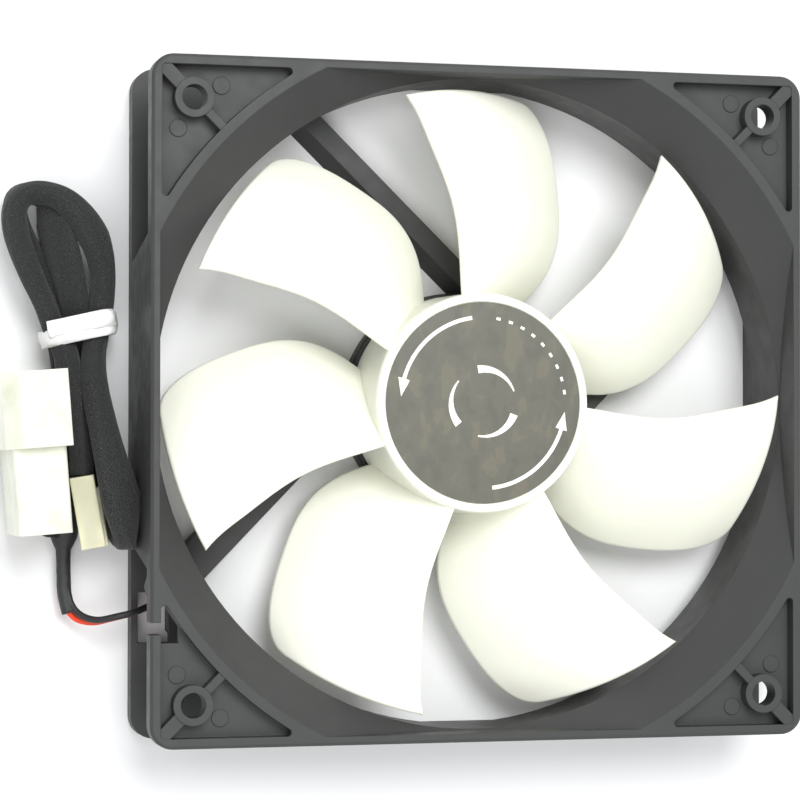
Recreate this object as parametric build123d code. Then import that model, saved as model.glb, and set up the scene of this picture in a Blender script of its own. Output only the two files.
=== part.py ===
from build123d import *
import math
import os

# A 120 mm case fan lying on its back. Millimetres, +Z up.
# The origin is at the middle of the rear face, z = 0; the rotor turns about +Z.
# The lead leaves the frame on its -X side and is folded into a tied hank there.

# ---------------------------------------------------------------- frame
SIDE = 120.0              # outside of the square frame, at its parting line
DEPTH = 25.0              # rear face to front face
EDGE_CHAMFER = 0.5        # on the outer edges of both faces
CORNER_R = 4.0            # outer vertical corners
FLANGE_T = 4.0            # each flange
HOLE_PITCH = 105.0        # screw holes, centre to centre
HOLE_R = 2.2
BOSS_R = 3.5
WALL = 1.5                # general wall of the moulding
INNER_HALF = 58.45        # the flat inner side walls, from the middle
THROAT_R = 58.3           # bore in its middle
THROAT_TOP = 18.0         # above this the bore widens to the front
THROAT_BOTTOM = 6.0       # below this it widens to the rear
FRONT_R = 65.3            # bore at the front face
REAR_R = 61.4             # bore at the rear face
SIDE_HALF_FRONT = 29.0    # half length of the flat side wall at the front flange
SIDE_HALF_REAR = 25.0     # and at the rear flange
POCKET_DEPTH = 2.8        # weight-saving pockets in the flange corners
POCKET_EDGE = 58.2        # their outer walls stand outside this
POCKET_RIM = 1.8          # the rim between a pocket and the bore
POCKET_ROUND = 0.7
RIB_T = 1.5               # the rib from the rim to the screw boss
CORNER_RIB_T = 2.4        # the rib from the boss out to the corner
RIB_LOW = 0.2             # the ribs stand this much below the face
DISC_R = 1.52             # ejector-pin discs on the pocket floors
DISC_T = 0.25
DISC_ALONG = 5.15         # from the screw hole, along the flange
DISC_ACROSS = 2.45        # from the screw hole, towards the edge
# The lead's way out, near the -X -Y corner: X and Y ranges of its three openings.
EDGE_SLOT_Y = (-40.3, -38.2)
FLOOR_HOLE = ((-POCKET_EDGE, -54.6), (-41.9, -33.0))
REAR_HOLE = ((-58.8, -53.2), (-42.9, -33.9))
TOOTH_Y = (-34.1, -32.2, -30.2)   # a tooth under the front flange keeps the leads in the gap
TOOTH_Z = (17.9, 21.2)
TOOTH_T = 1.5

# ---------------------------------------------------------------- struts and motor base
STRUT_ANGLE = -44.2       # direction of the first strut, from barrel to base
STRUT_TOP = 4.0
STRUT_OFFSETS = (14.5, 16.4, 19.95)   # lower edge, upper edge, far side, from the axis
CABLE_OFFSETS = (10.9, 11.5, 18.2)    # the same for the strut that carries the leads
CHANNEL_W = 4.0           # lead channel under the cable strut
CHANNEL_TOP = 2.6
CHANNEL_REACH = 66.4      # how far out it runs
BASE_CHANNEL_TOP = 2.2    # where it goes on under the motor base
BOARD_SLOT = (-7.2, -4.2)     # where the leads come up to the circuit board
BASE_R = 20.6
BASE_TOP = 3.0
RIM_R = (18.8, 20.3)
RIM_TOP = 4.8
LABEL_POCKET_R = 18.0
LABEL_POCKET_Z = 0.4
TUBE_R = 4.8              # bearing tube, outside
TUBE_TOP = 16.8
BEARING_R = 3.5
FIT = 0.02                # play between pieces that slide over each other

# ---------------------------------------------------------------- rotor
BLADES = 7
TIP_R = 56.3
HUB_R = 20.0
HUB_TOP_R = 19.6
HUB_TOP = 23.2
SKIRT_Z = 5.5
YOKE_R = 18.0
YOKE_T = 1.0
YOKE_TOP = 21.6
MAGNET_R = (15.2, 17.0)
MAGNET_Z = (7.0, 17.0)
INSERT_R = 3.0            # the brass bush that holds the shaft in the yoke
INSERT_FLANGE_R = 4.5
INSERT_LOW = 17.6
SHAFT_R = 1.5
SHAFT_Z = (1.55, 21.4)
GROOVE_R = 1.2            # the groove for the retaining clip
GROOVE_Z = (3.4, 3.9)
CLIP_R = 2.7
CLIP_GAP = 0.9            # half of the clip's open side
CLIP_FIT = 0.05           # between the clip and its groove, above and below
BLADE_T = 1.6
BLADE_ROUND = 0.6         # on all the free edges of a blade
# The blade's plan: (radius, angle) along its leading and trailing edges, root to tip.
BLADE_LEAD = [(18.6, 101.0), (24.0, 99.4), (30.0, 98.4), (36.0, 98.8), (42.0, 100.4),
              (47.5, 102.0), (52.5, 103.2), (TIP_R, 104.6)]
BLADE_TRAIL = [(18.6, 60.4), (24.0, 56.2), (30.0, 55.8), (36.0, 58.8), (42.0, 63.8),
               (47.5, 68.2), (52.0, 72.0), (54.9, 75.3), (56.0, 77.4), (TIP_R, 79.8)]
BLADE_LEAD_Z = (22.0, 22.5)    # leading edge height at the hub and at the tip
BLADE_TRAIL_Z = (7.0, 8.6)     # trailing edge height at the hub and at the tip
CAMBER = 0.5                   # share of the drop that grows with the square

# ---------------------------------------------------------------- bearing
BEARING_Z = (4.6, 15.6)
SEAL_Z = (15.65, 16.3)
PAD_R = 3.0
PAD_Z = (1.0, 1.5)
CAP_Z = (0.45, 1.0)
REAR_LABEL_T = 0.2

# ---------------------------------------------------------------- motor
CORE_Z = (9.5, 14.5)
CORE_R = 14.7
CORE_RING_R = 7.2
CORE_SHOE = (11.8, CORE_R)
SHOE_HALF_ANGLE = 38
INSULATOR_RING_R = 7.8
INSULATOR_SHOE = (11.5, 12.8)
POLE_COUNT = 4
ARM_W = 3.2
INSULATOR_T = 1.2
COIL_R = (8.0, 10.6)
COIL_BUILD = 1.9          # thickness of the winding round its arm
PIN_CIRCLE = 6.8
PIN_R = 0.4
PIN_LOW = 3.5
BOARD_R = (5.0, 17.2)
BOARD_Z = (3.9, 4.9)
# Pieces on the board: distance from the axis to their two ends, half width, height.
HALL_SENSOR = ((12.6, 15.6), 1.5, 1.3)
DRIVE_CHIP = ((8.6, 12.6), 2.5, 1.5)
RESISTOR = ((9.0, 11.0), 0.65, 0.6)
CAPACITOR = ((9.5, 12.7), 1.3, 1.6)

# ---------------------------------------------------------------- lead and connectors
LEAD_D = 1.2
SHRINK_D = 3.2            # shrink tubing over the two leads
SHRINK_BORE = 2.9
BOOT_D = 5.0              # its wide end, over the braided sleeve
PIGTAIL_D = 2.0           # the short wires to the large connector
SLEEVE_D = 4.0            # the sleeve where it lies straight, out of the hank
HANK_Z = (0.75, 12.6)
HANK_LOW_TOP = 20.0       # the folded end leans up against the frame
TIE_T = 0.6
TIE_W = 4.2
TIE_TURN = 13.0
TIE_AT = (-70.1, 13.2)
WAIST_X = (-6.2, 6.2)
WAIST_Z = (TIE_T + 0.15, 10.6)
FOUR_AT = (-79.35, -1.6)
FOUR_TILT = 4.5           # how far the large connector is turned on the floor
FOUR_PITCH = 5.08         # between its ways, which stand one above the other
FOUR_MIDDLE_Z = 12.3
SHROUD_HALF = (5.6, 6.6, FOUR_MIDDLE_Z)
SHROUD_CHAMFER = 2.8      # keys the plug: on two of the long edges
SHROUD_WALL = 1.3
FOUR_BODY = ((-4.4, 4.7), (-21.5, -6.0), (2.0, 22.6))
FOUR_BACK = ((-3.4, 3.8), (-22.0, -18.0), (3.0, 21.6))    # the hollow where the wires go in
FOUR_PIN_R = 1.05
FOUR_CRIMP_R = 1.6
FOUR_WAY_R = 1.75
THREE_AT = (-68.6, -19.3, 9.9)
THREE_TILT = 10.0         # the small connector's turn, and its lean on the sleeve under it
THREE_LEAN = -10.0
THREE_PITCH = 2.54
THREE_HALF = (2.1, 6.35, 3.95)
THREE_RIB_Z = 2.4         # the two ribs that key it, from its middle
THREE_RIB_END = 4.0
THREE_WAY_HALF = 0.95
THREE_SHELL_HALF = 0.85
THREE_SHELL_Y = (-5.6, 3.4)
BLACK_ROUTE = [
    (-52.79, -32.35, 1.4),
    (-55.0, -34.6, 1.7),
    (-56.5, -36.2, 3.8),
    (-57.7, -36.4, 7.0),
    (-60.3, -37.2, 9.6),
    (-63.9, -38.0, 9.3),
    (-67.0, -38.8, 6.8),
    (-70.2, -37.3, 4.4),
    (-71.5, -33.4, 3.65),
    (-71.5, -29.3, 3.65),
]
RED_ROUTE = [
    (-51.72, -33.4, 1.4),
    (-54.0, -35.8, 1.8),
    (-55.5, -37.5, 3.6),
    (-57.3, -37.9, 6.0),
    (-60.3, -37.7, 7.9),
    (-64.2, -38.6, 7.6),
    (-67.6, -39.6, 5.2),
    (-71.0, -38.4, 3.1),
    (-72.3, -33.6, 2.6),
    (-72.3, -29.3, 2.6),
]
SHRINK_ROUTE = [
    (-71.55, -34.6, 3.3),
    (-71.9, -32.0, 3.15),
    (-71.9, -29.3, 3.15),
]
SLEEVE_ROUTE = [
    (-70.8, -23.8, 2.6),
    (-70.8, -16.2, 2.6),
    (-70.4, -8.0, 2.7),
    (-70.4, 0.0, 2.7),
]
TAIL_ROUTE = [
    (-70.6, 0.0, 9.8),
    (-70.6, -6.2, 9.8),
    (-69.72, -12.9, 9.85),
]
PIGTAIL_ROUTE = [
    (-77.7, -19.7, 7.0),
    (-77.4, -21.6, 6.8),
    (-75.8, -23.2, 5.8),
    (-73.9, -24.1, 4.3),
]

parts = {}


def ring(outer, inner, low, high):
    """An upright ring between two heights."""
    height = high - low
    body = Cylinder(outer, height, align=(Align.CENTER, Align.CENTER, Align.MIN))
    if inner:
        body -= Cylinder(inner, height, align=(Align.CENTER, Align.CENTER, Align.MIN))
    return Pos(0, 0, low) * body


def block(x, y, z):
    """A box from three (low, high) pairs."""
    size = [high - low for low, high in (x, y, z)]
    middle = [(high + low) / 2 for low, high in (x, y, z)]
    return Pos(*middle) * Box(*size)


def turned(points):
    """A solid of revolution about Z from (radius, z) corners."""
    face = make_face(Polyline([(r, 0, z) for r, z in points], close=True))
    return revolve(face, Axis.Z)


def plate(points, low, high):
    """A flat plate from (x, y) corners."""
    face = make_face(Polyline([(x, y, low) for x, y in points], close=True))
    return extrude(face, high - low, dir=(0, 0, 1))


def around(count, shape, start=0.0):
    """Copies of a shape, evenly turned about Z."""
    return [Rot(0, 0, start + i * 360 / count) * shape for i in range(count)]


def corner_radii(route):
    """The largest tangent arcs that the runs of a route allow."""
    points = [Vector(*p) for p in route]
    radii = []
    for a, b, c in zip(points, points[1:], points[2:]):
        half = math.radians((b - a).get_angle(c - b)) / 2
        shorter = min((b - a).length, (c - b).length)
        radii.append(0.45 * shorter / math.tan(half))
    return radii


def tube(name, route, diameter, radii=None, bore=None):
    """A round tube along straight runs joined by arcs; its radii and volume are printed."""
    radii = radii or corner_radii(route)
    line = FilletPolyline(*route, radius=radii)
    spot = Plane(origin=line @ 0, z_dir=line % 0)
    section = Circle(diameter / 2)
    if bore:
        section -= Circle(bore / 2)
    body = sweep(spot * section, path=line)
    share = body.volume / (section.area * line.length)
    print(name, "length", round(line.length, 2), "radii", [round(r, 2) for r in radii],
          "volume share", round(share, 4))
    return body


def strut_frame(index):
    """Where a strut lies: its turn about Z, so that it runs along +X at a positive Y offset."""
    return Rot(0, 0, STRUT_ANGLE + 90 * index)


def strut(index, offsets):
    """A straight strut from the barrel wall to the motor base."""
    low_edge, high_edge, far = offsets
    section = [(low_edge, 0), (far, 0), (far, STRUT_TOP), (high_edge, STRUT_TOP)]
    reach = THROAT_R + WALL / 2
    face = make_face(Polyline([(-reach, y, z) for y, z in section], close=True))
    return strut_frame(index) * extrude(face, reach + 2.0, dir=(1, 0, 0))


def outer_block():
    """The square outline, drafted by a small chamfer at both faces."""
    body = extrude(RectangleRounded(SIDE, SIDE, CORNER_R), DEPTH)
    rims = body.edges().group_by(Axis.Z)
    return chamfer(rims[0] + rims[-1], EDGE_CHAMFER)


def bore():
    """The air path: a throat that widens to both faces, cut off by the flat side walls."""
    passage = turned([
        (0, -1), (REAR_R + 0.5, -1), (REAR_R, 0), (THROAT_R, THROAT_BOTTOM),
        (THROAT_R, THROAT_TOP), (FRONT_R, DEPTH), (FRONT_R, DEPTH + 1), (0, DEPTH + 1),
    ])
    return passage & block(*[(-INNER_HALF, INNER_HALF)] * 2, (-2, DEPTH + 2))


def barrel_outside():
    """The outside of the barrel wall, which follows the bore."""
    return turned([
        (0, 0), (REAR_R + WALL, 0), (THROAT_R + WALL, THROAT_BOTTOM - 1),
        (THROAT_R + WALL, THROAT_TOP - 1), (FRONT_R + WALL, DEPTH - 1),
        (FRONT_R + WALL, DEPTH), (0, DEPTH),
    ])


def side_walls():
    """Flat walls between the flanges on all four sides."""
    low, high = FLANGE_T, DEPTH - FLANGE_T
    corners = [(-SIDE_HALF_REAR, low), (SIDE_HALF_REAR, low),
               (SIDE_HALF_FRONT, high), (-SIDE_HALF_FRONT, high)]
    face = make_face(Polyline([(SIDE / 2, y, z) for y, z in corners], close=True))
    wall = extrude(face, SIDE / 2 - INNER_HALF, dir=(-1, 0, 0))
    return around(4, wall)


def pocket(low, high):
    """One corner pocket, in the +X +Y corner, with its rib and boss left standing."""
    reach = 20.0
    room = block((reach, POCKET_EDGE), (reach, POCKET_EDGE), (low, high))
    room -= ring(FRONT_R + POCKET_RIM, 0, low - 1, high + 1)
    room = fillet(room.edges().filter_by(Axis.Z), POCKET_ROUND)
    hole = HOLE_PITCH / 2
    boss = Pos(hole, hole, 0) * ring(BOSS_R, 0, low, high)
    diagonal = hole * math.sqrt(2)
    ribs = block((FRONT_R, diagonal), (-RIB_T / 2, RIB_T / 2), (low, high - RIB_LOW))
    ribs += block((diagonal, SIDE), (-CORNER_RIB_T / 2, CORNER_RIB_T / 2), (low, high - RIB_LOW))
    return room - boss - Rot(0, 0, 45) * ribs


def pocket_discs(floor):
    """The discs that the ejector pins leave on a pocket floor."""
    hole = HOLE_PITCH / 2
    spots = [(hole - DISC_ALONG, hole + DISC_ACROSS), (hole + DISC_ACROSS, hole - DISC_ALONG)]
    return [Pos(x, y, 0) * ring(DISC_R, 0, floor, floor + DISC_T) for x, y in spots]


def bearing_tube_and_base():
    """The motor base disc with its rim, label pocket and bearing tube."""
    body = ring(BASE_R, 0, 0, BASE_TOP)
    body += ring(RIM_R[1], RIM_R[0], BASE_TOP, RIM_TOP)
    body += ring(TUBE_R, 0, BASE_TOP, TUBE_TOP)
    body -= ring(LABEL_POCKET_R, 0, -1, LABEL_POCKET_Z)
    body -= ring(BEARING_R, 0, -1, TUBE_TOP + 1)
    return body


def lead_channel():
    """The slot under the cable strut, from the motor base out to the corner pocket."""
    middle = (CABLE_OFFSETS[0] + CABLE_OFFSETS[2]) / 2
    across = (middle - CHANNEL_W / 2, middle + CHANNEL_W / 2)
    under_strut = block((-CHANNEL_REACH, -BASE_R + 2), across, (-1, CHANNEL_TOP))
    under_base = block((-BASE_R, BOARD_SLOT[1]), across, (-1, BASE_CHANNEL_TOP))
    up_to_board = block(BOARD_SLOT, across, (-1, BASE_TOP + 1))
    return strut_frame(1) * (under_strut + under_base + up_to_board)


def frame_housing():
    body = outer_block()
    waist = block(*[(-SIDE, SIDE)] * 2, (FLANGE_T, DEPTH - FLANGE_T))
    body -= waist
    body += barrel_outside() & outer_block()
    for wall in side_walls():
        body += wall
    body -= bore()
    front = pocket(DEPTH - POCKET_DEPTH, DEPTH + 0.01)
    rear = mirror(pocket(DEPTH - POCKET_DEPTH, DEPTH + 0.01), Plane.XY.offset(DEPTH / 2))
    for cut in around(4, front) + around(4, rear):
        body -= cut
    for disc in pocket_discs(DEPTH - POCKET_DEPTH):
        for copy in around(4, disc):
            body += copy
    body += bearing_tube_and_base()
    for index in (0, 2, 3):
        body += strut(index, STRUT_OFFSETS) - ring(BASE_R - 1, 0, -1, STRUT_TOP + 1)
    body += strut(1, CABLE_OFFSETS) - ring(BASE_R - 1, 0, -1, STRUT_TOP + 1)
    hole = HOLE_PITCH / 2
    for x in (-hole, hole):
        for y in (-hole, hole):
            body -= Pos(x, y, 0) * ring(HOLE_R, 0, -1, DEPTH + 1)
    body -= lead_channel()
    return lead_way_out(body)


def lead_way_out(body):
    """A slot in the front flange's edge, a hole in each flange, and the tooth."""
    under_front = DEPTH - FLANGE_T - 1
    body -= block((-SIDE / 2 - 1, -POCKET_EDGE + 0.1), EDGE_SLOT_Y, (under_front, DEPTH + 1))
    floor_hole = block(*FLOOR_HOLE, (under_front, DEPTH - POCKET_DEPTH + 0.5))
    body -= floor_hole - ring(FRONT_R + POCKET_RIM, 0, 0, DEPTH)
    rear_hole = block(*REAR_HOLE, (-1, FLANGE_T + 1))
    body -= rear_hole - ring(REAR_R + WALL, 0, -2, DEPTH)
    low, point, high = TOOTH_Y
    corners = [(high, TOOTH_Z[1]), (low, TOOTH_Z[1]), (point, TOOTH_Z[0])]
    tooth = make_face(Polyline([(-SIDE / 2, y, z) for y, z in corners], close=True))
    return body + extrude(tooth, TOOTH_T, dir=(1, 0, 0))


def polar(radius, angle, z=0.0):
    """A point from its radius and its angle in degrees."""
    turn = math.radians(angle)
    return Vector(radius * math.cos(turn), radius * math.sin(turn), z)


def edge_angle(edge, radius):
    """The angle of a blade's edge at a radius, carried on in a line past its ends."""
    for (r0, a0), (r1, a1) in zip(edge, edge[1:]):
        if radius <= r1:
            break
    return a0 + (a1 - a0) * (radius - r0) / (r1 - r0)


def blade_middle():
    """The blade's cambered middle surface, a little larger than the blade's plan."""
    steps = 10
    root, square_trail = BLADE_LEAD[0][0], BLADE_TRAIL[:7]
    rows = []
    for radius in range(17, 59, 5):
        share = (radius - root) / (TIP_R - root)
        high = BLADE_LEAD_Z[0] + share * (BLADE_LEAD_Z[1] - BLADE_LEAD_Z[0])
        low = BLADE_TRAIL_Z[0] + share * (BLADE_TRAIL_Z[1] - BLADE_TRAIL_Z[0])
        lead, trail = edge_angle(BLADE_LEAD, radius), edge_angle(square_trail, radius)
        row = []
        for i in range(-1, steps + 2):
            along = i / steps
            drop = (1 - CAMBER) * along + CAMBER * along * abs(along)
            row.append(polar(radius, lead + along * (trail - lead), high - drop * (high - low)))
        rows.append(row)
    return Face.make_surface_from_array_of_points(rows, tol=0.01, min_deg=3, max_deg=5)


def blade_plan():
    """The blade seen from the front: two swept edges between a root arc and a tip arc."""
    edges = [Spline(*[polar(*spot) for spot in edge]) for edge in (BLADE_LEAD, BLADE_TRAIL)]
    for end in (0, -1):
        lead, trail = BLADE_LEAD[end], BLADE_TRAIL[end]
        between = polar(lead[0], (lead[1] + trail[1]) / 2)
        edges.append(ThreePointArc(polar(*lead), between, polar(*trail)))
    return make_face(edges)


def blade():
    """One forward-swept blade with rounded edges."""
    body = thicken(blade_middle(), BLADE_T / 2, both=True) & extrude(blade_plan(), DEPTH + 5)
    free = [edge for edge in body.edges()
            if edge.length > 2 * BLADE_T
            and math.hypot(edge.center().X, edge.center().Y) > HUB_R]
    return fillet(free, BLADE_ROUND)


def impeller():
    hub = turned([
        (0, HUB_TOP - 0.2), (YOKE_R + 0.1, HUB_TOP - 0.2), (YOKE_R + 0.1, HUB_TOP),
        (HUB_TOP_R - 0.8, HUB_TOP), (HUB_TOP_R - 0.23, HUB_TOP - 0.23),
        (HUB_TOP_R, HUB_TOP - 0.8), (HUB_R, SKIRT_Z), (YOKE_R, SKIRT_Z),
        (YOKE_R, YOKE_TOP), (0, YOKE_TOP),
    ])
    body = hub
    for copy in around(BLADES, blade()):
        body += copy
    return body


def rotor_pieces():
    parts["impeller"] = impeller()
    parts["hub_label"] = ring(YOKE_R - 0.05, 0, HUB_TOP - 0.2, HUB_TOP - 0.05)
    yoke = turned([
        (INSERT_R + FIT, YOKE_TOP), (YOKE_R, YOKE_TOP), (YOKE_R, SKIRT_Z + 0.5),
        (YOKE_R - YOKE_T, SKIRT_Z + 0.5), (YOKE_R - YOKE_T, YOKE_TOP - YOKE_T),
        (INSERT_R + FIT, YOKE_TOP - YOKE_T),
    ])
    parts["rotor_yoke"] = yoke
    parts["magnet_ring"] = ring(MAGNET_R[1], MAGNET_R[0], *MAGNET_Z)
    insert = ring(INSERT_R, SHAFT_R, YOKE_TOP - YOKE_T, YOKE_TOP)
    insert += ring(INSERT_FLANGE_R, SHAFT_R, INSERT_LOW, YOKE_TOP - YOKE_T)
    parts["shaft_insert"] = insert
    low, high = SHAFT_Z
    groove_low, groove_high = GROOVE_Z
    shaft = turned([
        (0, low), (0.7, low + 0.1), (1.2, low + 0.5), (SHAFT_R, low + 1.0),
        (SHAFT_R, groove_low), (GROOVE_R, groove_low), (GROOVE_R, groove_high),
        (SHAFT_R, groove_high), (SHAFT_R, high), (0, high),
    ])
    parts["shaft"] = shaft
    clip = ring(CLIP_R, GROOVE_R + FIT, groove_low + CLIP_FIT, groove_high - CLIP_FIT)
    clip -= block((0, 2 * CLIP_R), (-CLIP_GAP, CLIP_GAP), (groove_low - 1, groove_high + 1))
    parts["retaining_clip"] = clip


def bearing_pieces():
    parts["sleeve_bearing"] = ring(BEARING_R, SHAFT_R + FIT, *BEARING_Z)
    parts["oil_seal_ring"] = ring(BEARING_R - 0.05, SHAFT_R + 0.15, *SEAL_Z)
    parts["wear_pad"] = ring(PAD_R, 0, *PAD_Z)
    parts["bearing_cap"] = ring(BEARING_R, 0, *CAP_Z)
    parts["rear_label"] = ring(LABEL_POCKET_R - 0.2, 0, LABEL_POCKET_Z - REAR_LABEL_T, LABEL_POCKET_Z)


def stator_outline(ring_out, arm_width, shoe, low, high):
    """A ring on the bearing tube with arms and curved shoes."""
    body = ring(ring_out, TUBE_R + FIT, low, high)
    arm = block((TUBE_R + 1, shoe[0] + 0.5), (-arm_width / 2, arm_width / 2), (low, high))
    for copy in around(POLE_COUNT, arm):
        body += copy
    half = math.radians(SHOE_HALF_ANGLE)
    far = 2 * CORE_R
    wedge = plate([(0, 0), (far * math.cos(half), -far * math.sin(half)),
                   (far * math.cos(half), far * math.sin(half))], low, high)
    sector = ring(shoe[1], shoe[0], low, high) & wedge
    for copy in around(POLE_COUNT, sector):
        body += copy
    return body


def on_board(size, angles):
    """The same small block standing on the circuit board at each of some angles."""
    ends, half, height = size
    body = block(ends, (-half, half), (BOARD_Z[1], BOARD_Z[1] + height))
    return [Rot(0, 0, angle) * body for angle in angles]


def motor_pieces():
    low, high = CORE_Z
    bottom, top = low - INSULATOR_T, high + INSULATOR_T
    parts["stator_core"] = stator_outline(CORE_RING_R, ARM_W, CORE_SHOE, low, high)
    insulator = (INSULATOR_RING_R, ARM_W + INSULATOR_T, INSULATOR_SHOE)
    parts["lower_insulator"] = stator_outline(*insulator, bottom, low)
    parts["upper_insulator"] = stator_outline(*insulator, high, top)
    inside = (ARM_W + INSULATOR_T) / 2
    outside = inside + COIL_BUILD
    coil = block(COIL_R, (-outside, outside), (bottom - 1.0, top + 1.0))
    coil = fillet(coil.edges().filter_by(Axis.X), 0.9)
    coil -= block((0, 20), (-inside, inside), (bottom, top))
    parts["coil_windings"] = Compound(children=around(POLE_COUNT, coil))
    pin = Pos(PIN_CIRCLE, 0, 0) * ring(PIN_R, 0, PIN_LOW, bottom)
    parts["terminal_pins"] = Compound(children=around(POLE_COUNT, pin, 45))
    board = ring(BOARD_R[1], BOARD_R[0], *BOARD_Z)
    for hole in around(POLE_COUNT, Pos(PIN_CIRCLE, 0, 0) * ring(PIN_R + 0.05, 0, 0, 10), 45):
        board -= hole
    parts["circuit_board"] = board
    parts["hall_sensor"] = on_board(HALL_SENSOR, [45])[0]
    parts["drive_chip"] = on_board(DRIVE_CHIP, [-20])[0]
    parts["resistors"] = Compound(children=on_board(RESISTOR, [80, 100, 120]))
    parts["capacitors"] = Compound(children=on_board(CAPACITOR, [200, 230]))


def strut_lead(name, side, end):
    """A lead from the board, under the base and along the cable strut, to its outer end."""
    middle = (CABLE_OFFSETS[0] + CABLE_OFFSETS[2]) / 2 + side
    turn = math.radians(STRUT_ANGLE + 90)
    start = Vector(-5.7, middle).rotate(Axis.Z, math.degrees(turn))
    route = [(start.X, start.Y, BOARD_Z[0]), (start.X, start.Y, end[2]), end]
    parts[name] = tube(name, route, LEAD_D, radii=[1.5])


def hank():
    """The outer shape of the folded sleeve, with a waist where the tie goes round."""
    sides = Polyline([
        (-64.0, 30.5), (-63.3, 22.0), (-63.4, 14.0), (-64.0, 6.0), (-61.3, -4.0),
        (-60.6, -12.0), (-60.7, -25.2), (-64.2, -25.4), (-65.3, -11.0), (-66.9, 0.0),
        (-73.2, 0.0), (-73.2, 5.4), (-74.4, 6.2), (-77.2, 12.0), (-80.6, 21.0),
        (-83.7, 29.5),
    ])
    top = ThreePointArc((-83.7, 29.5), (-74.3, 38.8), (-64.0, 30.5))
    outline = make_face([sides, top])
    low, high = HANK_Z
    body = extrude(Pos(0, 0, low) * outline, high - low, dir=(0, 0, 1))
    leaning = body & block((-90, -50), (-40, -2), (low, high))
    body += Pos(0, 0, HANK_LOW_TOP - high) * leaning
    across = (-TIE_W / 2, TIE_W / 2)
    waist = tie_place() * block(WAIST_X, across, WAIST_Z)
    slice_there = tie_place() * block((-20, 20), across, (-1, 30))
    parts["lead_hank"] = body - (slice_there - waist)


def tie_place():
    """Where the tie goes round the hank."""
    return Pos(*TIE_AT, 0) * Rot(0, 0, TIE_TURN)


def twist_tie():
    """A flat tie round the waist of the hank, a little wider than the waist."""
    outside = [(low - TIE_T, high + TIE_T) for low, high in (WAIST_X, WAIST_Z)]
    band = block(outside[0], (-TIE_W / 2 + 0.1, TIE_W / 2 - 0.1), outside[1])
    parts["twist_tie"] = tie_place() * (band - block(WAIST_X, (-TIE_W, TIE_W), WAIST_Z))


def splice():
    """Shrink tubing over the two leads, and a boot where they meet the sleeve and the pigtail."""
    parts["shrink_tubing"] = tube("shrink_tubing", SHRINK_ROUTE, SHRINK_D, bore=SHRINK_BORE)
    parts["connector_pigtail"] = tube("connector_pigtail", PIGTAIL_ROUTE, PIGTAIL_D)
    start, end = Vector(*SHRINK_ROUTE[-1]), Vector(*SLEEVE_ROUTE[0])
    shoulder = start + (end - start) * 0.45
    ends = [Plane(origin=start, z_dir=(0, 1, 0)) * Circle(SHRINK_D / 2),
            Plane(origin=shoulder, z_dir=(0, 1, 0)) * Circle(0.35 * BOOT_D),
            Plane(origin=end, z_dir=(0, 1, 0)) * Circle(BOOT_D / 2)]
    parts["splice_boot"] = loft(ends) - parts["connector_pigtail"]


def four_pin_connector():
    """The large four-pin housing, on its narrow side, its mouth towards +Y."""
    place = Pos(*FOUR_AT, 0) * Rot(0, 0, FOUR_TILT)
    half_x, half_y, middle = SHROUD_HALF
    shroud = block((-half_x, half_x), (-half_y, half_y), (0, 2 * middle))
    long_edges = shroud.edges().filter_by(Axis.Y).sort_by(Axis.X)
    shroud = chamfer(long_edges[:2], SHROUD_CHAMFER)
    body = block(*FOUR_BODY)
    body = fillet(body.edges().filter_by(Axis.Y), 0.6)
    inner_x = half_x - SHROUD_WALL
    cavity = block((-inner_x, inner_x), (-5.0, half_y + 1), (1.5, 2 * middle - 1.5))
    cavity = chamfer(cavity.edges().filter_by(Axis.Y).sort_by(Axis.X)[:2], SHROUD_CHAMFER - 0.6)
    housing = shroud + body - cavity - block(*FOUR_BACK)
    pins = []
    for step in (-1.5, -0.5, 0.5, 1.5):
        way = Pos(0, 0, middle + step * FOUR_PITCH) * Rot(90, 0, 0)
        housing -= way * Pos(0, 0, 13) * Cylinder(FOUR_WAY_R, 10.2)
        housing -= way * Pos(0, 0, 6.5) * Cylinder(FOUR_PIN_R, 4)
        pin = Pos(0, 0, 1.6) * Cylinder(FOUR_PIN_R, 13.2) + Pos(0, 0, 13) * Cylinder(FOUR_CRIMP_R, 10)
        pins.append(place * way * pin)
    parts["four_pin_housing"] = place * housing
    parts["four_pin_contacts"] = Compound(children=pins)


def three_pin_connector():
    """The small three-way housing, on its edge, its mouth towards -Y."""
    place = Pos(*THREE_AT) * Rot(0, 0, THREE_TILT) * Rot(0, THREE_LEAN, 0)
    half_x, half_y = THREE_HALF[:2]
    housing = block(*[(-half, half) for half in THREE_HALF])
    for side in (-1, 1):
        rib = (THREE_RIB_Z * side - 0.35, THREE_RIB_Z * side + 0.35)
        housing += block((half_x - 0.1, half_x + 0.5), (-half_y, THREE_RIB_END), rib)
    contacts = []
    for z in [step * THREE_PITCH for step in (-1, 0, 1)]:
        way = (z - THREE_WAY_HALF, z + THREE_WAY_HALF)
        outside = (z - THREE_SHELL_HALF, z + THREE_SHELL_HALF)
        housing -= block((-1.0, 1.0), (-half_y - 1, 5.6), way)
        housing -= block((-half_x - 1, -1.0), (-2.0, 0.6), (z - 0.6, z + 0.6))
        shell = block((-0.9, 0.9), THREE_SHELL_Y, outside)
        shell -= block((-0.6, 0.6), (-half_y, 2.0), (z - 0.55, z + 0.55))
        contacts.append(place * shell)
    parts["three_pin_housing"] = place * housing
    parts["three_pin_contacts"] = Compound(children=contacts)


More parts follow.
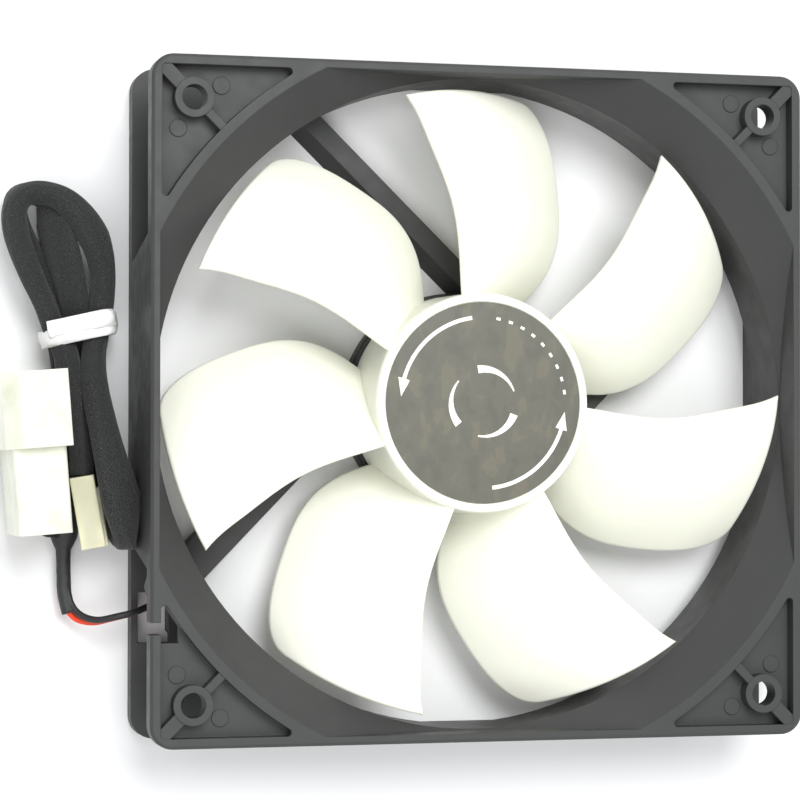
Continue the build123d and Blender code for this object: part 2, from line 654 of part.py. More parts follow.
def free_lead_pieces():
    parts["lead_black"] = tube("lead_black", BLACK_ROUTE, LEAD_D)
    parts["lead_red"] = tube("lead_red", RED_ROUTE, LEAD_D)
    splice()
    parts["sleeve_lower"] = tube("sleeve_lower", SLEEVE_ROUTE, SLEEVE_D)
    parts["sleeve_tail"] = tube("sleeve_tail", TAIL_ROUTE, SLEEVE_D)
    hank()
    twist_tie()
    four_pin_connector()
    three_pin_connector()


parts["frame_housing"] = frame_housing()
rotor_pieces()
bearing_pieces()
motor_pieces()
strut_lead("strut_lead_black", 0.75, BLACK_ROUTE[0])
strut_lead("strut_lead_red", -0.75, RED_ROUTE[0])
free_lead_pieces()

os.makedirs("parts", exist_ok=True)
for node, shape in parts.items():
    export_step(shape, f"parts/{node}.step")
print(len(parts), "nodes")
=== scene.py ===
import bpy
import math
from mathutils import Matrix, Vector, noise


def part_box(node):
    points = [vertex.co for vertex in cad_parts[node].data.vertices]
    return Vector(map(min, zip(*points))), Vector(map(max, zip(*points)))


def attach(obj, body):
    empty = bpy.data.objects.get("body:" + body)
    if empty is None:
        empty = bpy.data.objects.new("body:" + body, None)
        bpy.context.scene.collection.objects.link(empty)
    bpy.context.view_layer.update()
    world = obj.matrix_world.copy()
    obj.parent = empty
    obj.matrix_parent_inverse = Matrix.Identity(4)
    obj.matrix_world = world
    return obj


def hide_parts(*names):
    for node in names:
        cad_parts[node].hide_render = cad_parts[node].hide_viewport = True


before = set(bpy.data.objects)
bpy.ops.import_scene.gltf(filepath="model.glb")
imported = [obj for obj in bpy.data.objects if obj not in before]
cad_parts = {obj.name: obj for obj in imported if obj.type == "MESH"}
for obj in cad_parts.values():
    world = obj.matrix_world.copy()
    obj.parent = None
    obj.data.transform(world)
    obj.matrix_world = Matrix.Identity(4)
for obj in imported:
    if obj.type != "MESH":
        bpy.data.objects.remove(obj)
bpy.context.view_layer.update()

# Lengths in this script are millimetres unless a name says otherwise; MM turns them into metres.
MM = 0.001
HOUSING, ROTOR = "housing", "rotor"
FLOOR_Z = 0.0


# ================================================================ small tools

def to_m(place):
    return Vector(place) * MM


def srgb(*levels):
    """Linear colour from 0-255 screen levels."""
    return [((v / 255 + 0.055) / 1.055) ** 2.4 if v > 10 else v / 3295 for v in levels]


def between(rows, share):
    """A value interpolated along a list of evenly spaced values."""
    spot = min(max(share, 0.0), 1.0) * (len(rows) - 1)
    low = min(int(spot), len(rows) - 2)
    return rows[low] + (rows[low + 1] - rows[low]) * (spot - low)


def new_object(name, vertices, faces, uvs=None):
    """A smooth-shaded mesh object; uvs holds one pair for each vertex of each face, in order."""
    mesh = bpy.data.meshes.new(name)
    mesh.from_pydata([tuple(v) for v in vertices], [], faces)
    if uvs:
        layer = mesh.uv_layers.new(name="UVMap")
        for loop, pair in zip(layer.data, uvs):
            loop.uv = pair
    mesh.polygons.foreach_set("use_smooth", [True] * len(mesh.polygons))
    piece = bpy.data.objects.new(name, mesh)
    bpy.context.scene.collection.objects.link(piece)
    return piece


def add_piece(piece, body, material, replaces=()):
    """Give a piece its material and its body, and hide the CAD nodes it stands for."""
    piece.data.materials.append(material)
    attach(piece, body)
    if replaces:
        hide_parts(*replaces)
    return piece


# ================================================================ lines and tubes

def spline_points(route):
    """Points, in metres, along the NURBS line that a route's places control."""
    curve = bpy.data.curves.new("route", "CURVE")
    curve.dimensions = "3D"
    curve.resolution_u = 24
    spline = curve.splines.new("NURBS")
    spline.points.add(len(route) - 1)
    for knot, place in zip(spline.points, route):
        knot.co = (*to_m(place), 1)
    spline.order_u = 3
    spline.use_endpoint_u = True
    holder = bpy.data.objects.new("route", curve)
    bpy.context.scene.collection.objects.link(holder)
    graph = bpy.context.evaluated_depsgraph_get()
    mesh = bpy.data.meshes.new_from_object(holder.evaluated_get(graph))
    points = [v.co.copy() for v in mesh.vertices]
    bpy.data.objects.remove(holder)
    return points


def line_length(points):
    return sum((b - a).length for a, b in zip(points, points[1:]))


def even_points(points, step_mm):
    """The same line, with points an even step apart, and each point's share of the line's index."""
    count = max(2, round(line_length(points) / (step_mm * MM)))
    step = line_length(points) / count
    result, shares, walked, target = [], [], 0.0, 0.0
    for index, (a, b) in enumerate(zip(points, points[1:])):
        run = (b - a).length
        while len(result) < count and target <= walked + run and run > 0:
            part = (target - walked) / run
            result.append(a.lerp(b, part))
            shares.append((index + part) / (len(points) - 1))
            target += step
        walked += run
    return result + [points[-1]], shares + [1.0]


def carried_frames(points, start_side):
    """For each point, the line's direction and two crosswise directions that don't twist about it."""
    frames = []
    side = Vector(start_side)
    for i, _ in enumerate(points):
        ahead = (points[min(i + 1, len(points) - 1)] - points[max(i - 1, 0)]).normalized()
        side = (side - ahead * side.dot(ahead)).normalized()
        frames.append((ahead, side, ahead.cross(side)))
    return frames


def tube(name, points, shares, section, around, start_side=(1, 0, 0), v_scale=1.0):
    """A closed tube. section(share, angle) gives the offset sideways and upwards, in millimetres."""
    vertices, faces, uvs = [], [], []
    walked = 0.0
    heights = []
    for i, (point, share, (_, side, up)) in enumerate(
            zip(points, shares, carried_frames(points, start_side))):
        walked += (point - points[i - 1]).length if i else 0.0
        heights.append(walked * v_scale)
        for j in range(around):
            across, rise = section(share, 2 * math.pi * j / around)
            vertices.append(point + (side * across + up * rise) * MM)
    for i in range(len(points) - 1):
        for j in range(around):
            k = (j + 1) % around
            faces.append([i * around + j, i * around + k, (i + 1) * around + k, (i + 1) * around + j])
            low, high = j / around, (j + 1) / around
            uvs += [(low, heights[i]), (high, heights[i]), (high, heights[i + 1]), (low, heights[i + 1])]
    for end, order in ((0, range(around - 1, -1, -1)), (len(points) - 1, range(around))):
        centre = len(vertices)
        vertices.append(points[end])
        ring = [end * around + j for j in order]
        for a, b in zip(ring, ring[1:] + ring[:1]):
            faces.append([a, b, centre])
            uvs += [(0, heights[end])] * 3
    return new_object(name, vertices, faces, uvs)


def round_tube(name, route, diameter, step=0.4, around=24):
    """A plain round lead along a route; returns the object and the line that it follows."""
    points, shares = even_points(spline_points(route), step)
    radius = diameter / 2

    def section(_, angle):
        return radius * math.cos(angle), radius * math.sin(angle)

    return tube(name, points, shares, section, around), points


# ================================================================ materials

class Surface:
    """A Principled material whose colour, roughness and relief are built from nodes."""

    def __init__(self, name, colour, roughness, **sockets):
        self.material = bpy.data.materials.new(name)
        self.material.use_nodes = True
        self.nodes = self.material.node_tree.nodes
        self.links = self.material.node_tree.links
        self.shader = self.nodes["Principled BSDF"]
        self.shader.inputs["Base Color"].default_value = (*colour, 1)
        self.shader.inputs["Roughness"].default_value = roughness
        for key, value in sockets.items():
            self.shader.inputs[key.replace("_", " ")].default_value = value

    def node(self, kind, inputs=(), **settings):
        made = self.nodes.new(kind)
        for key, value in settings.items():
            setattr(made, key, value)
        for key, value in dict(inputs).items():
            if isinstance(value, bpy.types.NodeSocket):
                self.links.new(value, made.inputs[key])
            else:
                made.inputs[key].default_value = value
        return made

    def place(self, stretch=(1, 1, 1), uv=False):
        """Object or UV coordinates, stretched; object coordinates are in metres."""
        source = self.node("ShaderNodeTexCoord").outputs["UV" if uv else "Object"]
        mapped = self.node("ShaderNodeMapping", {"Vector": source, "Scale": stretch})
        return mapped.outputs["Vector"]

    def grain(self, size_mm, detail=2.0, stretch=(1, 1, 1), distortion=0.0):
        """Noise with features of about this size."""
        made = self.node("ShaderNodeTexNoise", {
            "Vector": self.place(stretch), "Scale": 1 / (size_mm * MM), "Detail": detail,
            "Distortion": distortion})
        return made.outputs["Fac"]

    def ramp(self, fac, *stops):
        """A colour ramp; each stop is a position and a colour or a grey level."""
        made = self.node("ShaderNodeValToRGB", {"Fac": fac})
        elements = made.color_ramp.elements
        while len(elements) < len(stops):
            elements.new(0.5)
        for element, (position, value) in zip(elements, stops):
            element.position = position
            element.color = (*value, 1) if hasattr(value, "__len__") else (value, value, value, 1)
        return made.outputs["Color"]

    def colour(self, fac, *stops):
        self.links.new(self.ramp(fac, *stops), self.shader.inputs["Base Color"])
        return self

    def roughness(self, fac, *stops):
        self.links.new(self.ramp(fac, *stops), self.shader.inputs["Roughness"])
        return self

    def relief(self, fac, depth_mm, strength=1.0):
        """Bump on top of whatever normal is there already."""
        made = self.node("ShaderNodeBump", {"Height": fac, "Distance": depth_mm * MM,
                                            "Strength": strength})
        normal = self.shader.inputs["Normal"]
        if normal.is_linked:
            self.links.new(normal.links[0].from_socket, made.inputs["Normal"])
        self.links.new(made.outputs["Normal"], normal)
        return self

    def soft_edges(self, radius_mm):
        """Round the look of sharp edges by a small radius."""
        made = self.node("ShaderNodeBevel", {"Radius": radius_mm * MM}, samples=6)
        self.links.new(made.outputs["Normal"], self.shader.inputs["Normal"])
        return self


def tinted(colour, factor):
    return [min(1.0, c * factor) for c in colour]


def moulded(name, colour, rough, grain_mm=0.22, depth=0.012, edge=0.2, swing=0.14, **sockets):
    """Moulded plastic: spark-eroded grain, faint flow marks in colour and gloss, softened edges."""
    surface = Surface(name, colour, rough, **sockets).soft_edges(edge)
    flow = surface.grain(14, 3.0, distortion=0.6)
    surface.colour(flow, (0.25, tinted(colour, 1 - swing)), (0.75, tinted(colour, 1 + swing)))
    surface.roughness(surface.grain(3.5, 4.0), (0.3, rough - 0.06), (0.7, min(1.0, rough + 0.07)))
    return surface.relief(surface.grain(grain_mm, 2.0), depth)


def metal(name, colour, rough, stretch=(1, 1, 12), grain_mm=0.5):
    """Drawn or turned metal with fine lines."""
    surface = Surface(name, colour, rough, Metallic=1.0).soft_edges(0.08)
    lines = surface.grain(grain_mm, 3.0, stretch)
    surface.roughness(lines, (0.3, rough - 0.08), (0.7, rough + 0.1))
    surface.colour(surface.grain(6, 3.0), (0.3, tinted(colour, 0.86)), (0.7, colour))
    return surface.relief(lines, 0.004)


def frame_plastic():
    """Glass-filled plastic with a fine eroded grain; it hardly reflects at a low angle."""
    surface = moulded("frame_plastic", srgb(59, 60, 60), 0.5, 0.16, 0.02, 0.22, 0.05,
                      Specular_IOR_Level=0.32)
    return surface.material


def rotor_plastic():
    """Smooth unfilled plastic that lets a little light in."""
    surface = moulded("rotor_plastic", srgb(240, 241, 226), 0.34, 0.5, 0.003, 0.15, 0.012,
                      Subsurface_Weight=0.35, Subsurface_Radius=(1.0, 0.9, 0.6), Subsurface_Scale=0.003,
                      Coat_Weight=0.1)
    return surface.material


def hub_film():
    """Dark printed film, mottled as if the ink had dried unevenly, under a satin coat."""
    dark, light = srgb(80, 80, 70), srgb(95, 92, 78)
    surface = Surface("hub_film", dark, 0.42, Coat_Weight=0.3, Coat_Roughness=0.3)
    blotch = surface.grain(3.4, 5.0, (1, 0.55, 1), distortion=0.25)
    surface.colour(blotch, (0.4, dark), (0.47, tinted(dark, 1.12)), (0.56, tinted(dark, 1.16)),
                   (0.6, light))
    surface.roughness(surface.grain(2.2, 5.0), (0.35, 0.34), (0.65, 0.56))
    return surface.relief(surface.grain(1.2, 4.0), 0.012).material


def print_ink():
    """Screen-printed white, thinner in places."""
    surface = Surface("print_ink", srgb(236, 236, 230), 0.5)
    surface.colour(surface.grain(0.5, 4.0), (0.3, srgb(205, 205, 196)), (0.6, srgb(240, 240, 235)))
    return surface.relief(surface.grain(0.3, 2.0), 0.004).material


def blank_film():
    """The unprinted label on the rear."""
    surface = Surface("rear_film", srgb(214, 216, 214), 0.35, Coat_Weight=0.2)
    surface.colour(surface.grain(7, 4.0), (0.3, srgb(205, 207, 204)), (0.7, srgb(221, 222, 220)))
    return surface.relief(surface.grain(2.0, 3.0), 0.01).material


def braid():
    """Fine black braid: two sets of thin yarns that cross, blurred by fuzz, with a few paler ones."""
    yarns_around, yarns_along, yarn_wander = 30.0, 1500.0, 2.6
    surface = Surface("braid", srgb(44, 44, 44), 0.85, Sheen_Weight=0.16, Sheen_Roughness=0.5,
                      Sheen_Tint=(0.8, 0.8, 0.8, 1), Specular_IOR_Level=0.2)
    split = surface.node("ShaderNodeSeparateXYZ", {"Vector": surface.place(uv=True)})
    turned = surface.node("ShaderNodeMath", {0: split.outputs["X"], 1: yarns_around}, operation="MULTIPLY")
    wander = surface.grain(0.9, 4.0)
    yarns = []
    for lean in (1, -1):
        climbed = surface.node("ShaderNodeMath", {0: split.outputs["Y"], 1: lean * yarns_along},
                               operation="MULTIPLY")
        phase = surface.node("ShaderNodeMath", {0: turned.outputs[0], 1: climbed.outputs[0]},
                             operation="ADD")
        loose = surface.node("ShaderNodeMath", {0: wander, 1: yarn_wander, 2: phase.outputs[0]},
                             operation="MULTIPLY_ADD")
        angle = surface.node("ShaderNodeMath", {0: loose.outputs[0], 1: 2 * math.pi},
                             operation="MULTIPLY")
        yarns.append(surface.node("ShaderNodeMath", {0: angle.outputs[0]}, operation="SINE").outputs[0])
    weave = surface.node("ShaderNodeMath", {0: yarns[0], 1: yarns[1]}, operation="MAXIMUM")
    level = surface.node("ShaderNodeMapRange", {"Value": weave.outputs[0], "From Min": -1.0,
                                                "From Max": 1.0}).outputs["Result"]
    fuzz = surface.grain(0.28, 6.0)
    mixed = surface.node("ShaderNodeMath", {0: level, 1: fuzz}, operation="MULTIPLY").outputs[0]
    surface.colour(mixed, (0.1, srgb(32, 33, 33)), (0.4, srgb(45, 46, 46)), (0.6, srgb(58, 59, 59)),
                   (0.7, srgb(88, 88, 87)))
    surface.relief(surface.grain(1.3, 5.0), 0.16, 0.6)
    surface.relief(level, 0.06, 0.7)
    return surface.relief(fuzz, 0.06, 0.7).material


def vinyl(name, colour, rough=0.52):
    """Soft insulation of a lead, slightly uneven."""
    surface = Surface(name, colour, rough)
    surface.colour(surface.grain(5, 3.0), (0.3, tinted(colour, 0.85)), (0.7, tinted(colour, 1.1)))
    surface.roughness(surface.grain(1.5, 3.0), (0.3, rough - 0.06), (0.7, rough + 0.1))
    return surface.relief(surface.grain(0.8, 3.0), 0.012).material


def shrink_film():
    """Heat-shrink tubing, dull and faintly rippled."""
    surface = Surface("shrink_film", srgb(34, 35, 36), 0.6)
    surface.colour(surface.grain(3, 4.0), (0.3, srgb(28, 29, 30)), (0.7, srgb(42, 43, 44)))
    return surface.relief(surface.grain(0.9, 3.0), 0.05).material


def tie_vinyl():
    """Creased white vinyl."""
    surface = Surface("tie_vinyl", srgb(245, 245, 243), 0.36, Subsurface_Weight=0.2,
                      Subsurface_Radius=(1, 1, 1), Subsurface_Scale=0.001)
    surface.colour(surface.grain(2.5, 4.0), (0.3, srgb(226, 227, 226)), (0.7, srgb(246, 246, 244)))
    return surface.relief(surface.grain(1.1, 4.0), 0.06).material


def nylon(name, colour, depth_colour):
    """Unfilled nylon: milky, with faint clouding where the wall is thick."""
    surface = Surface(name, colour, 0.36, Subsurface_Weight=0.6, Subsurface_Radius=(1.0, 0.95, 0.75),
                      Subsurface_Scale=0.004, Coat_Weight=0.15)
    surface.soft_edges(0.35)
    surface.colour(surface.grain(5, 3.0), (0.3, depth_colour), (0.65, colour))
    surface.roughness(surface.grain(1.8, 4.0), (0.3, 0.28), (0.7, 0.44))
    return surface.relief(surface.grain(0.7, 3.0), 0.008).material


def enamelled_copper():
    """Wound wire: the turns show as fine ridges round the coil."""
    surface = Surface("copper", srgb(190, 104, 58), 0.3, Metallic=1.0)
    turns = surface.node("ShaderNodeTexWave", {"Vector": surface.place(), "Scale": 900.0,
                                               "Distortion": 1.2, "Detail": 1.0},
                         wave_type="RINGS", rings_direction="Z").outputs["Fac"]
    surface.colour(turns, (0.2, srgb(120, 58, 30)), (0.7, srgb(205, 120, 70)))
    return surface.relief(turns, 0.06).material


def board_mask():
    """Green solder mask over copper tracks."""
    surface = Surface("board_mask", srgb(28, 92, 52), 0.3, Coat_Weight=0.5)
    tracks = surface.grain(1.6, 1.0)
    surface.colour(tracks, (0.46, srgb(22, 80, 44)), (0.5, srgb(44, 118, 66)))
    return surface.relief(tracks, 0.03).material


# Material for each CAD node that is shown as it is.
SHOWN = {
    "frame_housing": frame_plastic(),
    "impeller": rotor_plastic(),
    "hub_label": hub_film(),
    "rear_label": blank_film(),
    "rotor_yoke": metal("yoke_steel", srgb(198, 198, 192), 0.32).material,
    "magnet_ring": moulded("magnet", srgb(58, 56, 54), 0.7).material,
    "shaft": metal("ground_steel", srgb(214, 215, 217), 0.16).material,
    "shaft_insert": metal("brass", srgb(200, 168, 104), 0.3).material,
    "retaining_clip": moulded("washer_nylon", srgb(225, 222, 205), 0.45).material,
    "sleeve_bearing": metal("bronze", srgb(184, 146, 92), 0.42).material,
    "oil_seal_ring": moulded("seal_nylon", srgb(222, 218, 200), 0.45).material,
    "wear_pad": moulded("pad_nylon", srgb(226, 222, 206), 0.4).material,
    "bearing_cap": moulded("cap_plastic", srgb(40, 41, 42), 0.5).material,
    "stator_core": metal("core_steel", srgb(150, 152, 155), 0.38, (1, 1, 30)).material,
    "lower_insulator": moulded("insulator_low", srgb(232, 232, 224), 0.42).material,
    "upper_insulator": moulded("insulator_top", srgb(232, 232, 224), 0.42).material,
    "coil_windings": enamelled_copper(),
    "terminal_pins": metal("tin_pins", srgb(206, 206, 200), 0.28).material,
    "circuit_board": board_mask(),
    "hall_sensor": moulded("hall_black", srgb(34, 34, 36), 0.5).material,
    "drive_chip": moulded("chip_black", srgb(36, 36, 38), 0.5).material,
    "resistors": moulded("resistor_black", srgb(38, 38, 42), 0.5).material,
    "capacitors": moulded("ceramic", srgb(176, 148, 112), 0.5).material,
    "strut_lead_black": vinyl("strut_vinyl_black", srgb(34, 34, 36)),
    "strut_lead_red": vinyl("strut_vinyl_red", srgb(214, 62, 32)),
    "four_pin_housing": nylon("nylon_white", srgb(224, 226, 211), srgb(204, 208, 190)),
    "four_pin_contacts": metal("tin_four", srgb(214, 213, 205), 0.25).material,
    "three_pin_housing": nylon("nylon_cream", srgb(216, 213, 176), srgb(203, 200, 162)),
    "three_pin_contacts": metal("tin_three", srgb(214, 213, 205), 0.25).material,
}
SHARP_ANGLE = math.radians(32)


def dress_cad_nodes():
    for node, material in SHOWN.items():
        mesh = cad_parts[node].data
        mesh.materials.clear()
        mesh.materials.append(material)
        mesh.polygons.foreach_set("use_smooth", [True] * len(mesh.polygons))
        mesh.set_sharp_from_angle(angle=SHARP_ANGLE)


dress_cad_nodes()


# ================================================================ camera, floor and light

# Where the camera stands, in metres, and the directions of its picture's sides.
CAMERA_PLACE = (-0.14028, -0.01094, 0.49877)
CAMERA_RIGHT = Vector((0.96719, 0.00076, 0.25404))
CAMERA_UP = Vector((-0.00657, 0.99974, 0.02206))
CAMERA_SENSOR, CAMERA_LENS = 36.0, 125.5
FLOOR_HALF = 3000.0
WORLD_STRENGTH = 0.72
# Place and size in metres, and power in watts.
LIGHTS = {"key": ((0.05, 0.4, 1.0), 0.6, 9.0), "fill": ((-0.3, -0.35, 0.9), 0.7, 3.5)}
LIGHT_TARGET = (0, 0, 0.01)


def add_camera():
    """A long lens above the fan and a little to its left."""
    back = CAMERA_RIGHT.cross(CAMERA_UP)
    turn = Matrix((CAMERA_RIGHT, CAMERA_UP, back)).transposed().to_4x4()
    data = bpy.data.cameras.new("camera")
    data.sensor_width = CAMERA_SENSOR
    data.lens = CAMERA_LENS
    data.clip_start = 0.01
    camera = bpy.data.objects.new("camera", data)
    camera.matrix_world = Matrix.Translation(CAMERA_PLACE) @ turn
    bpy.context.scene.collection.objects.link(camera)
    bpy.context.scene.camera = camera


def add_floor():
    corners = [to_m((x * FLOOR_HALF, y * FLOOR_HALF, FLOOR_Z))
               for x, y in ((-1, -1), (1, -1), (1, 1), (-1, 1))]
    floor = new_object("floor", corners, [[0, 1, 2, 3]])
    surface = Surface("floor_paper", srgb(236, 237, 238), 0.75)
    surface.colour(surface.grain(60, 2.0), (0.3, srgb(235, 236, 237)), (0.7, srgb(238, 239, 240)))
    floor.data.materials.append(surface.material)


def add_light(name, place, size, power):
    data = bpy.data.lights.new(name, "AREA")
    data.shape = "DISK"
    data.size = size
    data.energy = power
    light = bpy.data.objects.new(name, data)
    light.location = place
    light.rotation_euler = (Vector(LIGHT_TARGET) - Vector(place)).to_track_quat("-Z", "Y").to_euler()
    bpy.context.scene.collection.objects.link(light)


def add_world():
    world = bpy.data.worlds.new("world")
    world.use_nodes = True
    background = world.node_tree.nodes["Background"]
    background.inputs["Color"].default_value = (1.0, 1.0, 1.0, 1)
    background.inputs["Strength"].default_value = WORLD_STRENGTH
    bpy.context.scene.world = world


add_camera()
add_floor()
add_world()
for light_name, light_settings in LIGHTS.items():
    add_light(light_name, *light_settings)
bpy.context.scene.view_settings.view_transform = "Standard"


# ================================================================ the free leads

LEAD_D = 1.2
BLACK_ROUTE = [
    (-52.79, -32.35, 1.4),
    (-55.0, -34.6, 1.7),
    (-56.5, -36.2, 3.8),
    (-57.7, -36.4, 7.0),
    (-60.3, -37.2, 9.6),
    (-63.9, -38.0, 9.3),
    (-67.0, -38.8, 6.8),
    (-70.2, -37.3, 4.4),
    (-71.6, -33.4, 3.5),
    (-71.65, -29.3, 3.45),
]
RED_ROUTE = [
    (-51.72, -33.4, 1.4),
    (-54.0, -35.8, 1.8),
    (-55.6, -36.9, 3.2),
    (-57.4, -36.5, 5.2),
    (-60.0, -37.3, 7.8),
    (-63.8, -38.2, 7.5),
    (-67.4, -39.3, 5.0),
    (-70.8, -38.2, 2.9),
    (-72.2, -33.6, 2.45),
    (-72.25, -29.3, 2.45),
]
black_vinyl = vinyl("vinyl_black", srgb(34, 34, 36))
red_vinyl = vinyl("vinyl_red", srgb(226, 66, 34))
black_lead, black_line = round_tube("black_lead", BLACK_ROUTE, LEAD_D)
red_lead, red_line = round_tube("red_lead", RED_ROUTE, LEAD_D)
add_piece(black_lead, HOUSING, black_vinyl, ["lead_black"])
add_piece(red_lead, HOUSING, red_vinyl, ["lead_red"])


# ================================================================ splice: shrink tubing and boot

SPLICE_ROUTE = [
    (-71.1, -37.4, 3.8),
    (-71.8, -34.4, 3.1),
    (-71.95, -31.2, 3.0),
    (-72.0, -28.0, 3.0),
    (-72.0, -24.4, 2.9),
    (-71.7, -20.6, 2.7),
]
# Half width and half height of the splice along its route, from the leads to the sleeve.
SPLICE_HALF_WIDTH = [1.24, 1.28, 1.28, 1.28, 1.28, 1.28, 1.34, 2.42, 2.5]
SPLICE_HALF_HEIGHT = [1.24, 1.28, 1.28, 1.28, 1.28, 1.28, 1.34, 2.2, 2.3]
GROOVE_DEPTH = 0.08       # between the two leads, as a share of the height
GROOVE_END = 0.55         # the share of the splice where the groove has run out
PUCKER = 0.05


def splice_section(share, angle):
    """Flat over the two leads with a groove between them, round over the sleeve."""
    wide, high = between(SPLICE_HALF_WIDTH, share), between(SPLICE_HALF_HEIGHT, share)
    fading = GROOVE_DEPTH * max(0.0, 1 - share / GROOVE_END)
    groove = fading * math.cos(2 * angle) ** 2 * abs(math.sin(angle))
    pucker = 1 + PUCKER * noise.noise(Vector((math.cos(angle) * 2, math.sin(angle) * 2, share * 9)))
    return wide * pucker * math.cos(angle), high * pucker * math.sin(angle) * (1 - groove)


shrink = shrink_film()
splice_line, splice_shares = even_points(spline_points(SPLICE_ROUTE), 0.25)
splice = tube("splice_shrink", splice_line, splice_shares, splice_section, 48)
add_piece(splice, HOUSING, shrink, ["shrink_tubing", "splice_boot"])

# The wires behind the large connector, down into the boot.
PIGTAIL_BLACK_ROUTE = [
    (-77.2, -18.6, 9.9),
    (-77.2, -21.4, 9.6),
    (-76.3, -23.1, 7.9),
    (-74.6, -23.4, 5.6),
    (-73.0, -23.5, 4.0),
]
PIGTAIL_RED_ROUTE = [
    (-77.0, -18.6, 8.4),
    (-77.0, -20.9, 8.0),
    (-76.0, -22.4, 6.2),
    (-74.3, -22.8, 4.2),
    (-72.8, -23.2, 3.0),
]
pigtail_black, _ = round_tube("pigtail_black", PIGTAIL_BLACK_ROUTE, LEAD_D)
pigtail_red, _ = round_tube("pigtail_red", PIGTAIL_RED_ROUTE, LEAD_D)
add_piece(pigtail_black, HOUSING, black_vinyl, ["connector_pigtail"])
add_piece(pigtail_red, HOUSING, red_vinyl)


# ================================================================ braided sleeve, folded into a hank

# Place, width, height and lean (degrees about its own line) of the sleeve, boot to connector.
SLEEVE = [
    # under the connectors, up to the tie
    (-71.4, -23.6, 2.6, 4.2, 3.8, 0),
    (-70.9, -19.0, 2.6, 4.4, 3.9, 0),
    (-70.8, -11.0, 2.7, 4.8, 4.0, 0),
    (-70.9, -3.0, 2.7, 4.8, 4.0, 0),
    (-71.6, 4.5, 2.7, 4.8, 4.0, 0),
    (-72.6, 11.5, 2.8, 4.8, 4.0, 0),
    # the dark lower strand and the inner fold
    (-74.5, 17.7, 2.9, 4.8, 4.0, 0),
    (-76.0, 23.1, 2.9, 4.7, 4.1, 0),
    (-79.2, 28.3, 3.0, 4.6, 4.1, 0),
    (-81.0, 33.1, 3.3, 4.2, 4.2, 0),
    (-81.1, 37.0, 4.4, 3.5, 4.3, 0),
    (-75.9, 37.0, 6.0, 4.2, 4.2, 0),
    # the strand in the middle, down through the tie
    (-74.6, 33.2, 6.9, 9.4, 3.6, 0),
    (-73.4, 27.6, 7.1, 9.5, 3.6, 0),
    (-71.6, 21.6, 6.6, 7.8, 4.0, 0),
    (-70.3, 15.9, 5.2, 6.8, 4.2, 0),
    (-69.0, 10.4, 4.0, 5.2, 4.2, 0),
    (-67.4, 3.5, 3.2, 5.2, 4.2, 0),
    (-65.8, -4.0, 3.2, 5.3, 4.2, 0),
    (-64.6, -11.5, 3.4, 5.6, 4.2, -6),
    (-63.6, -18.0, 4.4, 6.2, 4.0, -12),
    # the fold at the lower end
    (-61.7, -21.3, 7.0, 9.2, 4.1, 0),
    (-61.8, -21.6, 12.4, 9.8, 4.1, 2),
    # back up, leaning on the frame
    (-63.4, -17.5, 15.0, 9.4, 4.0, -14),
    (-65.0, -11.3, 14.6, 7.5, 4.0, -18),
    (-66.5, -4.1, 12.6, 6.0, 4.2, -12),
    (-67.9, 3.5, 10.2, 5.1, 4.4, -4),
    (-67.4, 9.6, 8.0, 4.8, 4.0, 0),
    # the right outer strand, the arch and the left outer strand
    (-66.3, 14.6, 7.7, 4.2, 4.0, 0),
    (-66.0, 19.0, 8.6, 4.2, 4.4, 0),
    (-66.1, 24.4, 9.4, 4.3, 4.6, 0),
    (-67.9, 30.0, 10.2, 6.6, 4.4, 0),
    (-72.1, 35.2, 10.6, 5.3, 4.2, 0),
    (-76.7, 36.9, 10.6, 3.3, 4.3, 0),
    (-80.5, 36.3, 10.4, 3.0, 4.4, 0),
    (-82.1, 33.2, 10.2, 3.9, 4.4, 0),
    (-81.3, 28.3, 9.8, 4.0, 4.4, 0),
    (-78.9, 22.5, 9.2, 3.5, 4.4, 0),
    (-76.2, 17.3, 8.3, 3.2, 4.2, 0),
    (-74.5, 12.7, 7.7, 3.4, 4.0, 0),
    # down to the small connector
    (-72.5, 9.0, 8.6, 3.9, 4.1, 0),
    (-71.9, 4.5, 9.3, 4.2, 4.2, 0),
    (-71.0, -1.1, 9.8, 4.2, 4.1, 0),
    (-69.9, -7.1, 9.9, 4.2, 4.0, 0),
    (-69.72, -12.9, 9.9, 4.1, 4.0, 0),
]
SLEEVE_WIDTH = [row[3] for row in SLEEVE]
SLEEVE_HEIGHT = [row[4] for row in SLEEVE]
SLEEVE_LEAN = [math.radians(row[5]) for row in SLEEVE]
FOLD_SHARE = 21.5 / (len(SLEEVE) - 1)     # where the lower fold is
FOLD_REACH = 0.03
ROUNDNESS = 0.86          # 1 is an ellipse, and less is squarer
FOLD_SQUARER = 0.42       # by how much less at the lower fold
CREASE = 0.09             # how far the wall swells and sinks, as a share of its distance


def sleeve_section(share, angle):
    """A flattened tube whose soft wall creases lengthwise over the wires inside."""
    wide, high = between(SLEEVE_WIDTH, share) / 2, between(SLEEVE_HEIGHT, share) / 2
    lean = between(SLEEVE_LEAN, share)
    power = ROUNDNESS - FOLD_SQUARER * math.exp(-((share - FOLD_SHARE) / FOLD_REACH) ** 2)
    across = math.copysign(abs(math.cos(angle)) ** power, math.cos(angle)) * wide
    rise = math.copysign(abs(math.sin(angle)) ** power, math.sin(angle)) * high
    crease = noise.noise(Vector((math.cos(angle) * 1.7, math.sin(angle) * 1.7, share * 16)))
    crease += 0.5 * noise.noise(Vector((math.cos(angle) * 4, math.sin(angle) * 4, share * 40 + 7)))
    swell = 1 + CREASE * crease
    across, rise = across * swell, rise * swell
    return (across * math.cos(lean) - rise * math.sin(lean),
            across * math.sin(lean) + rise * math.cos(lean))


